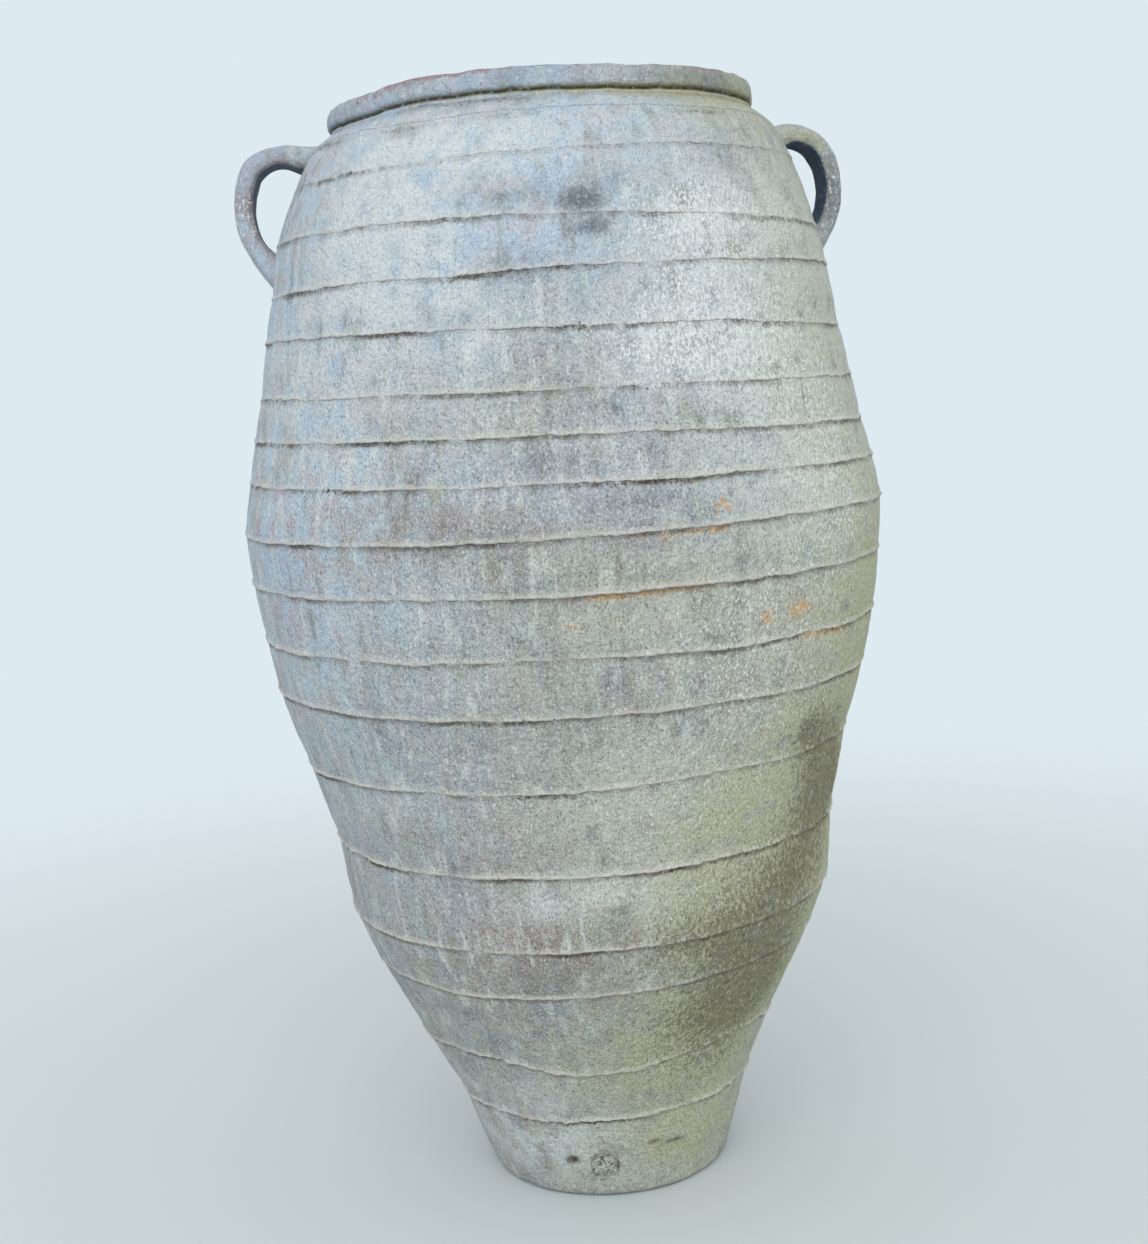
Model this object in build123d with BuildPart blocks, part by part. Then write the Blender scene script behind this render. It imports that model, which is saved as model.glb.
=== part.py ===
from build123d import *
import os
from math import degrees

# A coil-built clay storage jar: stacked wall courses with tongue-and-groove joints, a band of clay
# over each joint, a base disc, a rim, two strap handles and a mortar plug in the drain hole.
# Millimetres, +Z up, origin at the centre of the underside, handles along X, front towards -Y.

# Main sizes of the jar
foot_radius = 124.0
foot_height = 94.0
belly_radius = 323.0
belly_rise = 50.0
shoulder_radius = 248.0
neck_radius = 206.0
wall = 24.0

# Wall courses from the foot up: node name, height, outer radius of the upper edge
courses = [
    ("foot_course", foot_height, 153),
    ("lower_course_1", 64, 182),
    ("lower_course_2", 90, 228),
    ("lower_course_3", 49, 249),
    ("lower_course_4", 75, 256),
    ("lower_course_5", 86, 278),
    ("lower_course_6", 71, 300),
    ("belly_course_1", 52, 310),
    ("belly_course_2", 58, 318),
    ("belly_course_3", belly_rise, belly_radius),
    ("belly_course_4", 45, 315),
    ("belly_course_5", 42, 305),
    ("upper_course_1", 38, 297),
    ("upper_course_2", 54, 287),
    ("upper_course_3", 49, 278),
    ("upper_course_4", 49, 269),
    ("upper_course_5", 60, shoulder_radius),
    ("shoulder_course", 32, 231),
    ("neck_course", 18, neck_radius),
]

# Joint between two courses, and the clearance that all seats share
tongue_width = 8.0
tongue_height = 8.0
seat_gap = 0.3

# Band of clay pressed over each joint below the shoulder
band_width = 12.0
band_proud = 3.4
band_edge = 1.2
band_crest_drop = 2.6
smooth_joints = ("shoulder_course", "neck_course")

# Base disc, dropped onto a ledge inside the foot
base_thickness = 24.0
ledge_width = 8.0
ledge_height = 10.0

# Rim
rim_height = 24.0
rim_overhang = 5.5
rim_groove = 4.0
rim_shoulder_round = 11.0
rim_underside_round = 4.0
rim_mouth_round = 6.0

# Strap handles
strap_width = 52.0
strap_thickness = 21.0
strap_round = 8.0
handle_span = 116.0
handle_rise = 4.0
handle_reach = 26.0
handle_top_bend = 40.0
handle_low_bend = 60.0
handle_low_lean = 28.0
handle_low_bend_drop = 48.0
root_pad_height = 36.0
root_pad_thickness = 8.0

# Drain hole by the foot, and its plug
drain_radius = 12.0
drain_lift = 4.0
drain_azimuth = -99.0
plug_head_radius = 13.5
plug_head_proud = 2.5

names = [row[0] for row in courses]
radii = [foot_radius] + [row[2] for row in courses]
levels = [sum(row[1] for row in courses[:i]) for i in range(len(courses) + 1)]
neck_level = levels[-1]
top_level = neck_level + rim_height


def lean(index):
    """Outward run of a course's wall for each millimetre of height; the rim stands upright."""
    if index == len(courses):
        return 0.0
    return (radii[index + 1] - radii[index]) / (levels[index + 1] - levels[index])


def outer_radius(level):
    """Outer radius of the wall at a height."""
    for i in range(len(courses)):
        if level <= levels[i + 1]:
            return radii[i] + lean(i) * (level - levels[i])
    return neck_radius


def joint_key(index, clearance):
    """Section of the tongue, or with a clearance of the groove, that rises across one joint."""
    middle = radii[index] - wall / 2
    half = tongue_width / 2 + clearance
    rise = tongue_height + clearance
    shift = lean(index) * rise
    base, crest = levels[index], levels[index] + rise
    return [
        (middle + half, base),
        (middle + half + shift, crest),
        (middle - half + shift, crest),
        (middle - half, base),
    ]


def course_section(index):
    """Closed section of one wall course, from its lower outer edge round by the top."""
    low, high = levels[index], levels[index + 1]
    outline = [(radii[index], low), (radii[index + 1], high)]
    outline += joint_key(index + 1, 0.0)
    outline += [(radii[index + 1] - wall, high)]
    if index == 0:
        outline += [
            (outer_radius(ledge_height) - wall, ledge_height),
            (foot_radius - wall - ledge_width, ledge_height),
            (foot_radius - wall - ledge_width, low),
        ]
    else:
        outline += [(radii[index] - wall, low)]
        outline += reversed(joint_key(index, seat_gap))
    return outline


def band_points(index):
    """Lower edge, crest and upper edge of the band over one joint, on the wall's outer face."""
    low = levels[index] - band_width / 2
    high = levels[index] + band_width / 2
    return [
        (outer_radius(low) + seat_gap, low),
        (radii[index] + band_proud, levels[index] - band_crest_drop),
        (outer_radius(high) + seat_gap, high),
    ]


banded_joints = [i + 1 for i, name in enumerate(names) if name not in smooth_joints]


def outside_section():
    """The jar's outside with its bands, grown by the seat gap, as a closed half section."""
    outline = [(0, levels[0]), (foot_radius + seat_gap, levels[0])]
    for i in range(1, len(levels)):
        if i in banded_joints:
            low, crest, high = band_points(i)
            outline += [
                low,
                (low[0] + band_edge + seat_gap, low[1]),
                (crest[0] + seat_gap, crest[1]),
                (high[0] + band_edge + seat_gap, high[1]),
                high,
            ]
        else:
            outline += [(radii[i] + seat_gap, levels[i])]
    outline += [(0, neck_level)]
    return outline


os.makedirs("parts", exist_ok=True)

# Drain axis: level, radial, just above the base disc
drain_level = base_thickness + drain_radius + drain_lift
drain_plane = Plane(
    origin=(0, 0, drain_level),
    x_dir=(0, 0, 1),
    z_dir=Vector(1, 0, 0).rotate(Axis.Z, drain_azimuth),
)
drain_outside = outer_radius(drain_level)

# Wall courses
for index, name in enumerate(names):
    with BuildPart() as course:
        with BuildSketch(Plane.XZ):
            with BuildLine():
                Polyline(*course_section(index), close=True)
            make_face()
        revolve(axis=Axis.Z)
        if index == 0:
            with BuildSketch(drain_plane):
                Circle(drain_radius)
            extrude(amount=drain_outside + wall, mode=Mode.SUBTRACT)
    course.part.label = name
    export_step(course.part, f"parts/{name}.step")

# Base disc: stepped underneath, so that it rests on the ledge with its underside level with the foot
with BuildPart() as base_disc:
    with BuildSketch(Plane.XZ):
        with BuildLine():
            Polyline(
                (0, 0),
                (foot_radius - wall - ledge_width - seat_gap, 0),
                (foot_radius - wall - ledge_width - seat_gap, ledge_height),
                (outer_radius(ledge_height) - wall - seat_gap, ledge_height),
                (outer_radius(base_thickness) - wall - seat_gap, base_thickness),
                (0, base_thickness),
                close=True,
            )
        make_face()
    revolve(axis=Axis.Z)
base_disc.part.label = "base_disc"
export_step(base_disc.part, "parts/base_disc.step")

# Joint bands: a low ridge whose crest sits a little below the joint
for number, index in enumerate(banded_joints, start=1):
    low, crest, high = band_points(index)
    with BuildPart() as band:
        with BuildSketch(Plane.XZ):
            with BuildLine():
                Polyline(
                    (high[0] + band_edge, high[1]),
                    high,
                    (radii[index] + seat_gap, levels[index]),
                    low,
                    (low[0] + band_edge, low[1]),
                )
                Polyline((low[0] + band_edge, low[1]), crest, (high[0] + band_edge, high[1]))
            make_face()
        revolve(axis=Axis.Z)
    band.part.label = f"joint_band_{number}"
    export_step(band.part, f"parts/joint_band_{number}.step")

# Rim: a rounded collar that overhangs the neck, with a groove under it and a flat top
mouth_radius = neck_radius - wall
with BuildPart() as rim:
    with BuildSketch(Plane.XZ):
        with BuildLine():
            Polyline(
                (neck_radius, neck_level),
                (neck_radius, neck_level + rim_groove),
                (neck_radius + rim_overhang, neck_level + rim_groove),
                (neck_radius + rim_overhang, top_level),
                (mouth_radius, top_level),
                (mouth_radius, neck_level),
                *reversed(joint_key(len(courses), seat_gap)),
                close=True,
            )
        section = make_face()
        outer_low, outer_high = section.vertices().group_by(Axis.X)[-1].sort_by(Axis.Z)
        mouth_edge = section.vertices().group_by(Axis.X)[0].sort_by(Axis.Z)[-1]
        fillet(outer_high, radius=rim_shoulder_round)
        fillet(outer_low, radius=rim_underside_round)
        fillet(mouth_edge, radius=rim_mouth_round)
    revolve(axis=Axis.Z)
rim.part.label = "rim"
export_step(rim.part, "parts/rim.step")

# Handles: a strap that leaves the shoulder level, turns down and leans back to the wall below,
# where its end is pressed out into a pad
root_level = levels[names.index("shoulder_course") + 1]
low_root_level = root_level - handle_span
strap_line = outer_radius(low_root_level) + handle_reach
strap_top = root_level + handle_rise
low_bend_level = low_root_level + handle_low_bend_drop
low_end = Vector(0, -1).rotate(Axis.Z, -handle_low_lean) * (handle_low_bend_drop + strap_thickness + wall)
pad_low = low_root_level - root_pad_height / 2
pad_high = low_root_level + root_pad_height / 2
pad_arc = degrees(strap_width / outer_radius(low_root_level))
for side, turn in (("handle_left", 180), ("handle_right", 0)):
    handle_plane = Plane.XZ.rotated((0, 0, turn))
    with BuildPart() as handle:
        with BuildLine(handle_plane) as strap_path:
            FilletPolyline(
                (outer_radius(root_level) - wall / 2, root_level),
                (strap_line, strap_top),
                (strap_line, low_bend_level),
                (strap_line + low_end.X, low_bend_level + low_end.Y),
                radius=(handle_top_bend, handle_low_bend),
            )
        with BuildSketch(Plane(strap_path.line @ 0, x_dir=handle_plane.z_dir, z_dir=strap_path.line % 0)):
            RectangleRounded(strap_width, strap_thickness, strap_round)
        sweep()
        with BuildSketch(Plane.XZ.rotated((0, 0, turn - pad_arc / 2))):
            with BuildLine():
                Polyline(
                    (outer_radius(pad_low) - wall / 2, pad_low),
                    (outer_radius(pad_low) + root_pad_thickness, pad_low),
                    (outer_radius(pad_high) + root_pad_thickness, pad_high),
                    (outer_radius(pad_high) - wall / 2, pad_high),
                    close=True,
                )
            make_face()
        revolve(axis=Axis.Z, revolution_arc=pad_arc)
        with BuildSketch(Plane.XZ):
            with BuildLine():
                Polyline(*outside_section(), close=True)
            make_face()
        revolve(axis=Axis.Z, mode=Mode.SUBTRACT)
    handle.part.label = side
    export_step(handle.part, f"parts/{side}.step")

# Drain plug: a shank of mortar through the wall with a low head smeared over the hole's edge
with BuildPart() as drain_plug:
    with BuildSketch(drain_plane.offset(drain_outside - wall / 2)):
        Circle(plug_head_radius)
    extrude(amount=wall / 2 + plug_head_proud)
    with BuildSketch(Plane.XZ):
        with BuildLine():
            Polyline(*outside_section(), close=True)
        make_face()
    revolve(axis=Axis.Z, mode=Mode.SUBTRACT)
    with BuildSketch(drain_plane.offset(drain_outside - wall)):
        Circle(drain_radius - seat_gap)
    extrude(amount=wall + plug_head_proud)
drain_plug.part.label = "drain_plug"
export_step(drain_plug.part, "parts/drain_plug.step")
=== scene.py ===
from functools import lru_cache
from math import cos, exp, pi, radians, sin, sqrt

import bpy
import numpy as np
from mathutils import Matrix, Vector, noise


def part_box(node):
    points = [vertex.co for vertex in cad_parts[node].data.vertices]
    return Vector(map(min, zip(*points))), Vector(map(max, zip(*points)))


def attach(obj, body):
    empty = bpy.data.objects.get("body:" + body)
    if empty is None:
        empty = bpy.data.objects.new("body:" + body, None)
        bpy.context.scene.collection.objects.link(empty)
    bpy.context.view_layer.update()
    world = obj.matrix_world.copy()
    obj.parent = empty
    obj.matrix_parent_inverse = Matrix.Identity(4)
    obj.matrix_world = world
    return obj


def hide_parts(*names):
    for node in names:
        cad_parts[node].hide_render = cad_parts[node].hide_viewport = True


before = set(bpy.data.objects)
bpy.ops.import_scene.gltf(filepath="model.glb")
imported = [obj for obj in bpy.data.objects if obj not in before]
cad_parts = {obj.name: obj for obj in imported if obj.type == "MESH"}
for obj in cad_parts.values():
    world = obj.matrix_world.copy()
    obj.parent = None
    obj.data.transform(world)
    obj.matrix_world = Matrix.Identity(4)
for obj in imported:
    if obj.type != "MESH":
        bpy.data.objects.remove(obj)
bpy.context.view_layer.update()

# Wall courses
# The jar's wall is a stack of coarse terracotta courses, each coiled and paddled by hand on the one below
# once that had stiffened. They are luted together with wet clay and fired as one body.
course_names = ["foot_course"]
course_names += [f"lower_course_{n}" for n in range(1, 7)]
course_names += [f"belly_course_{n}" for n in range(1, 6)]
course_names += [f"upper_course_{n}" for n in range(1, 6)]
course_names += ["shoulder_course", "neck_course"]
widest_joint = course_names.index("belly_course_3") + 1
wall = 0.024
foot_radius = 0.124
neck_radius = 0.206
foot_edge_round = 0.006
course_swell = 0.0012
course_spokes = 480

# Where the maker's hand shows, in millimetres: each joint's sideways drift, its rise to the right, its lift
joint_drift_mm = [6, 5, 0, 3, 1, -1, -4, -5, -4, -4, -4, -3, -4, -4, -4, -4, -4, -4, -3, -3]
joint_rise_mm = [0, 4, 2, 8, 4, 2, 4, -1, -2, 0, 2, -4, -6, -4, -7, 2, -6, 3, 1, 2]
joint_lift_mm = [0, 3, 6, 6, 6.5, 5, 4, 3.5, 4, 3.5, 4, 4.5, 2.5, 5, 3.3, 4.5, 0.8, -1.5, 0, 0]
sagging_joint = 2
sag_depth = 0.006

# Dings in the wall: degrees to the right of the facing line, height, radius, depth
dings = [
    (-16, 0.046, 0.0045, 0.0040), (49, 0.484, 0.008, 0.0022), (-4, 0.507, 0.010, 0.0018),
    (9, 0.797, 0.006, 0.0020), (-62, 0.33, 0.012, 0.0020), (-30, 0.40, 0.010, 0.0014),
    (130, 0.62, 0.014, 0.0025), (-150, 0.88, 0.010, 0.0022), (170, 0.30, 0.012, 0.0025),
]

# Unevenness from broad to fine: depth, size of the lumps, and how fast they change from level to level
joint_waver = [(0.0022, 0.35, 3.7), (0.0011, 0.09, 5.1)]
wall_lumps = [(0.0014, 0.12, 1.0), (0.0009, 0.034, 0.4), (0.0005, 0.013, 1.0)]

# The line on the jar that faces the viewer, as an angle about the axis from +X
facing = radians(-95.5)


def half_width(node):
    """Half of a CAD piece's width."""
    low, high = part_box(node)
    return (high[0] - low[0]) / 2


even_level = [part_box(name)[0][2] for name in course_names] + [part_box("rim")[0][2]]
even_radius = [foot_radius]
for index in range(1, len(course_names)):
    even_radius.append(half_width(course_names[index - 1 if index <= widest_joint else index]))
even_radius.append(neck_radius)
joint_level = [level + lift / 1000 for level, lift in zip(even_level, joint_lift_mm)]
joint_radius = [float(r) for r in np.interp(joint_level, even_level, even_radius)]


def ripple(x, y, z, size):
    """Smooth unevenness between -1 and 1 with lumps of about the given size."""
    return noise.noise(Vector((x / size, y / size, z / size)))


def uneven(x, y, level, lumps):
    """Ripples from broad to fine added up."""
    return sum(depth * ripple(x, y, level * change, size) for depth, size, change in lumps)


def turned(angle, place):
    """How far an angle about the axis is past a place given in degrees to the right of the facing line."""
    return (angle - facing - radians(place) + pi) % (2 * pi) - pi


@lru_cache(maxsize=None)
def joint_height(index, angle):
    """Height of a joint line at an angle: it leans a little and wavers."""
    if index == 0:
        return joint_level[0]
    height = joint_level[index] + joint_rise_mm[index] / 1000 * sin(angle - facing)
    if index == sagging_joint:
        height -= sag_depth * cos(4 * (angle - facing))
    return height + uneven(cos(angle), sin(angle), index, joint_waver)


def wall_point(index, angle, share):
    """Radius, height and sideways drift of the outside of a course, share of the way up it."""
    low, high = joint_height(index, angle), joint_height(index + 1, angle)
    z = low + (high - low) * share
    radius = joint_radius[index] + (joint_radius[index + 1] - joint_radius[index]) * share
    drift = joint_drift_mm[index] + (joint_drift_mm[index + 1] - joint_drift_mm[index]) * share
    x, y = radius * cos(angle), radius * sin(angle)
    radius += course_swell * 4 * share * (1 - share)
    radius += uneven(x, y, z, wall_lumps)
    for place, level, size, depth in dings:
        if abs(z - level) < 2 * size:
            reach = (turned(angle, place) * radius / size) ** 2 + ((z - level) / size) ** 2
            radius -= depth * exp(-reach)
    return radius, z, drift / 1000


# The ragged lower lip of the band over a joint. It hangs below the joint and is broken and pitted in places.
# On the two lowest joints it is more ragged and nowhere worn away, and on the four lowest it is less pitted.
lip_drop = 0.0033
lip_rags = [(0.0012, 0.045, 0.7), (0.0011, 0.014, 0.9), (0.0010, 0.006, 1.1), (0.0008, 0.0032, 1.2)]
lip_strength = 0.80
lip_breaks = [(0.7, 0.11, 1.3), (0.7, 0.025, 1.7), (0.5, 0.008, 1.9), (0.4, 0.0035, 2.1)]
faintest_lip = 0.08
boldest_lip = 1.4
lip_pitting = 0.50
lip_pits = [(1.1, 0.08, 2.9)]
least_pitting = 0.05
ragged_joints = 2
ragged_more = 2.1
ragged_breaks = [(0.6, 0.012, 2.5)]
faintest_ragged_lip = 0.5
cleaner_joints = 4
cleaner_by = 0.15


@lru_cache(maxsize=None)
def band_lip(index, angle):
    """Height of the lower lip of the band over a joint, how strongly it stands out and how pitted it is."""
    x, y = cos(angle) * joint_radius[index], sin(angle) * joint_radius[index]
    rags = uneven(x, y, index, lip_rags)
    strength = lip_strength + uneven(x, y, index, lip_breaks)
    faintest = faintest_lip
    if index <= ragged_joints:
        rags *= ragged_more
        strength += uneven(x, y, index, ragged_breaks)
        faintest = faintest_ragged_lip
    pitting = lip_pitting + uneven(x, y, index, lip_pits) - (cleaner_by if index <= cleaner_joints else 0)
    height = joint_height(index, angle) - lip_drop + rags
    return height, min(max(strength, faintest), boldest_lip), min(max(pitting, least_pitting), 1)


# Rows of points up a course: close together by its two edges, where the bands lie
edge_zone = 0.012
lower_edge_rows = [0, 0.002, 0.004, 0.006, 0.009, edge_zone]
upper_edge_rows = [edge_zone, 0.0095, 0.008, 0.0065, 0.005, 0.0035, 0.002, 0]
row_step = 0.004
closest_rows = 0.0008


def course_rows(height):
    """Heights of a course's rows of points, close together by its two edges."""
    between = height - 2 * edge_zone
    steps = max(int(between / row_step), 1)
    rows = lower_edge_rows + [edge_zone + between * i / steps for i in range(1, steps)]
    rows += [height - down for down in upper_edge_rows]
    kept = []
    for row in sorted(rows):
        if not kept or row - kept[-1] > closest_rows:
            kept.append(row)
    return kept


def finished_mesh(name, points, faces):
    """A smooth-shaded piece made of these points and faces."""
    mesh = bpy.data.meshes.new(name)
    mesh.from_pydata(points, [], faces)
    mesh.polygons.foreach_set("use_smooth", [True] * len(faces))
    piece = bpy.data.objects.new(name, mesh)
    bpy.context.collection.objects.link(piece)
    return piece


def ring_mesh(name, section, spokes):
    """A closed ring whose section at each angle is a loop of points (x, y, z)."""
    loops = [section(2 * pi * s / spokes) for s in range(spokes)]
    count = len(loops[0])
    faces = []
    for s in range(spokes):
        here, there = s * count, (s + 1) % spokes * count
        for k in range(count):
            after = (k + 1) % count
            faces.append((here + k, there + k, there + after, here + after))
    return finished_mesh(name, [p for loop in loops for p in loop], faces)


# Marks of weathering: degrees to the right of the facing line, height, half width, half height, strength.
# Those past 90 degrees are on the far side. A strength below 0 keeps that kind off.
weather_marks = {
    "cool": [
        (-45, 0.90, 0.20, 0.20, 1.05), (-20, 1.02, 0.20, 0.08, 0.8), (-48, 0.62, 0.20, 0.14, 0.7),
        (-42, 0.44, 0.13, 0.15, 0.4), (4, 0.93, 0.14, 0.09, 0.5), (-5, 0.72, 0.14, 0.05, 0.35),
        (-35, 0.26, 0.12, 0.10, 0.15), (20, 1.05, 0.12, 0.04, 0.5), (-80, 0.72, 0.15, 0.20, 0.7),
        (-130, 0.90, 0.25, 0.16, 0.9), (165, 0.80, 0.22, 0.20, 0.7), (115, 0.60, 0.18, 0.16, 0.6),
        (-110, 0.45, 0.18, 0.16, 0.6), (-165, 0.35, 0.16, 0.16, 0.5), (130, 1.02, 0.20, 0.06, 0.6),
    ],
    "bloom": [
        (-14, 1.025, 0.10, 0.03, 0.7), (-33, 0.97, 0.10, 0.06, 1.0), (-42, 0.86, 0.14, 0.09, 0.9),
        (-32, 1.04, 0.12, 0.03, 0.4), (0, 1.05, 0.15, 0.02, 0.2), (-5, 0.60, 0.25, 0.05, 0.3),
        (-20, 0.944, 0.016, 0.022, 0.9), (-14, 0.836, 0.014, 0.03, 0.8), (-13, 0.895, 0.03, 0.02, 0.35),
        (-38, 0.756, 0.006, 0.018, 0.8), (-6, 0.35, 0.10, 0.02, 0.6), (12, 0.375, 0.08, 0.018, 0.8),
        (24, 0.40, 0.06, 0.018, 0.7), (16, 0.345, 0.08, 0.016, 0.6), (15, 0.45, 0.15, 0.08, 0.8),
        (-30, 0.13, 0.10, 0.05, 0.4), (-8, 0.06, 0.12, 0.05, 1.2), (38, 0.05, 0.06, 0.05, 1.3),
        (55, 0.89, 0.19, 0.12, 1.3), (58, 0.72, 0.18, 0.11, 1.2), (-44, 0.715, 0.004, 0.02, 0.9),
        # The bloom strip at 86 degrees and 0.40 m up is a painted highlight: a pale band down the right edge
        # where light grazes the jar
        (86, 0.40, 0.03, 0.14, 1.3), (120, 0.92, 0.18, 0.12, 1.0), (-155, 0.97, 0.16, 0.08, 0.9),
        (-120, 0.74, 0.16, 0.14, 0.8), (150, 0.66, 0.18, 0.12, 0.9), (-170, 0.56, 0.16, 0.10, 0.7),
        (-95, 0.56, 0.12, 0.12, 0.6), (125, 0.40, 0.16, 0.10, 0.7), (-135, 0.33, 0.14, 0.10, 0.6),
        (170, 0.24, 0.12, 0.08, 0.6), (-110, 0.12, 0.12, 0.08, 0.8), (120, 0.10, 0.12, 0.07, 0.8),
        (-170, 0.06, 0.10, 0.05, 0.9),
    ],
    "lichen": [
        (25, 0.915, 0.075, 0.055, 0.85), (30, 0.97, 0.075, 0.03, 0.9), (23, 0.845, 0.09, 0.035, 0.9),
        (48, 0.80, 0.12, 0.10, 0.8), (52, 0.68, 0.10, 0.08, 0.8), (30, 1.04, 0.12, 0.03, 0.25),
        (50, 0.95, 0.12, 0.08, 0.4), (15, 1.09, 0.10, 0.015, 0.35), (40, 1.09, 0.08, 0.015, 0.2),
        (20, 0.60, 0.15, 0.08, 0.5), (8, 0.46, 0.20, 0.10, 0.5), (45, 0.52, 0.10, 0.06, 0.5),
        (10, 0.27, 0.12, 0.06, 0.3), (-50, 0.75, 0.10, 0.10, 0.2), (-84, 1.0, 0.06, 0.05, 1.0),
        (90, 1.0, 0.05, 0.05, 0.8), (-28, 0.60, 0.05, 0.03, 0.5), (140, 0.88, 0.12, 0.07, 0.9),
        (-140, 0.80, 0.12, 0.08, 0.7), (175, 0.62, 0.14, 0.06, 0.6), (110, 0.72, 0.10, 0.06, 0.6),
        (-115, 0.55, 0.12, 0.06, 0.5),
    ],
    "moss": [
        (-38, 0.93, 0.17, 0.12, -0.4), (66, 0.95, 0.12, 0.15, 0.35), (62, 0.78, 0.14, 0.12, 0.45),
        (64, 0.62, 0.15, 0.10, 0.8), (56, 0.45, 0.13, 0.12, 0.95), (46, 0.30, 0.12, 0.10, 1.0),
        (36, 0.20, 0.10, 0.06, 1.0), (38, 0.07, 0.09, 0.07, 1.3), (15, 0.17, 0.10, 0.05, 0.5),
        (25, 0.36, 0.12, 0.08, 0.5), (10, 0.45, 0.16, 0.08, 0.4), (45, 1.06, 0.10, 0.03, 0.5),
        (12, 0.62, 0.16, 0.06, 0.35), (85, 0.40, 0.20, 0.30, 0.7), (150, 0.45, 0.18, 0.14, 0.6),
        (-150, 0.20, 0.14, 0.10, 0.6), (35, 1.077, 0.10, 0.005, 0.9), (0, 1.077, 0.10, 0.004, 0.7),
        (70, 1.078, 0.08, 0.006, 1.0), (88, 1.05, 0.05, 0.015, 0.6), (55, 1.09, 0.10, 0.02, 0.7),
        (90, 1.0, 0.08, 0.06, 0.5),
    ],
    "grime": [
        (63, 0.41, 0.07, 0.05, 1.3), (50, 0.34, 0.10, 0.045, 1.0), (38, 0.205, 0.10, 0.05, 1.1),
        (25, 0.30, 0.06, 0.03, 0.5), (45, 0.27, 0.10, 0.05, 0.9), (49, 0.484, 0.02, 0.015, 0.6),
        (-4, 0.51, 0.04, 0.03, 0.3), (35, 0.14, 0.06, 0.03, 0.5), (50, 0.49, 0.05, 0.04, 0.5),
        (10, 0.30, 0.08, 0.02, 0.35), (58, 0.46, 0.06, 0.05, 0.8), (-25, 0.50, 0.06, 0.02, 0.3),
        (140, 0.22, 0.10, 0.05, 0.8), (-140, 0.28, 0.08, 0.04, 0.7), (165, 0.50, 0.08, 0.04, 0.5),
    ],
    "stain": [
        (6, 0.976, 0.016, 0.010, 1.0), (8, 0.952, 0.020, 0.011, 0.9), (12, 0.718, 0.06, 0.015, 0.7),
        (-13, 0.693, 0.06, 0.015, 0.5), (-4, 0.507, 0.018, 0.016, 0.5), (49, 0.484, 0.010, 0.014, 0.7),
        (2, 0.90, 0.08, 0.03, 0.4), (9, 0.797, 0.005, 0.010, 0.9), (-16, 0.046, 0.005, 0.004, 1.3),
        (-30, 0.36, 0.05, 0.05, 0.3), (20, 0.755, 0.06, 0.02, 0.4), (-5, 0.985, 0.09, 0.026, 0.5),
        (-8, 0.93, 0.05, 0.03, 0.4), (150, 0.96, 0.03, 0.015, 0.9), (-125, 0.68, 0.05, 0.02, 0.6),
        (-3, 0.755, 0.05, 0.015, 0.4), (-25, 0.60, 0.05, 0.03, 0.35), (92, 1.0, 0.09, 0.07, 0.7),
        (42, 1.092, 0.12, 0.015, 0.5),
    ],
    "rust": [
        (41, 0.607, 0.020, 0.011, 1.0), (33, 0.602, 0.012, 0.010, 0.8), (25, 0.708, 0.012, 0.008, 0.75),
        (0, 0.613, 0.012, 0.005, 0.6), (6, 0.613, 0.012, 0.005, 0.6), (53, 0.578, 0.03, 0.006, 0.75),
        (6, 0.637, 0.04, 0.004, 0.9), (19, 0.639, 0.05, 0.004, 0.8), (14, 0.686, 0.04, 0.004, 0.6),
        (24, 0.688, 0.03, 0.004, 0.8), (44, 0.580, 0.03, 0.004, 0.8), (-35, 1.101, 0.07, 0.007, 0.9),
        (-50, 1.09, 0.05, 0.010, 0.6), (-18, 1.101, 0.05, 0.006, 0.8), (48, 1.102, 0.07, 0.006, 0.9),
        (-110, 1.101, 0.09, 0.007, 0.7), (100, 1.101, 0.06, 0.007, 0.7), (150, 1.101, 0.10, 0.007, 0.8),
        (-160, 1.101, 0.05, 0.007, 0.7),
    ],
    "blush": [
        (-56, 0.22, 0.03, 0.02, 0.7), (-40, 0.68, 0.10, 0.04, 0.4), (-10, 0.70, 0.10, 0.03, 0.4),
        (-15, 0.685, 0.10, 0.022, 0.5), (-30, 0.71, 0.06, 0.02, 0.4), (10, 0.80, 0.10, 0.04, 0.35),
        (-18, 0.30, 0.14, 0.06, 0.6), (-16, 0.41, 0.14, 0.05, 0.5), (0, 0.34, 0.10, 0.04, 0.4),
        (-84, 1.0, 0.08, 0.05, 0.6), (-25, 0.83, 0.08, 0.04, 0.4), (-40, 1.0, 0.08, 0.04, 0.4),
    ],
}
# What each kind of weathering adds all round, so that the far side is weathered too: amount and patch size
weather_ground = {
    "cool": (0.30, 0.21), "bloom": (0.30, 0.16), "lichen": (0.35, 0.13), "moss": (0.30, 0.24),
    "grime": (0.22, 0.15), "stain": (0.25, 0.10), "rust": (0.0, 0.1), "blush": (0.35, 0.12),
}
ground_spread = 0.15
most_weather = 1.3

# The clay is gritty up to the first of these heights and worn smoother from there to the second
grit_heights = [0.78, 1.0]
grit_amounts = [1.0, 0.6]


def set_number(piece, name, values):
    """Store one number on each point of a piece."""
    stored = piece.data.attributes.new(name, "FLOAT", "POINT")
    stored.data.foreach_set("value", np.asarray(values, dtype=float))


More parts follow.
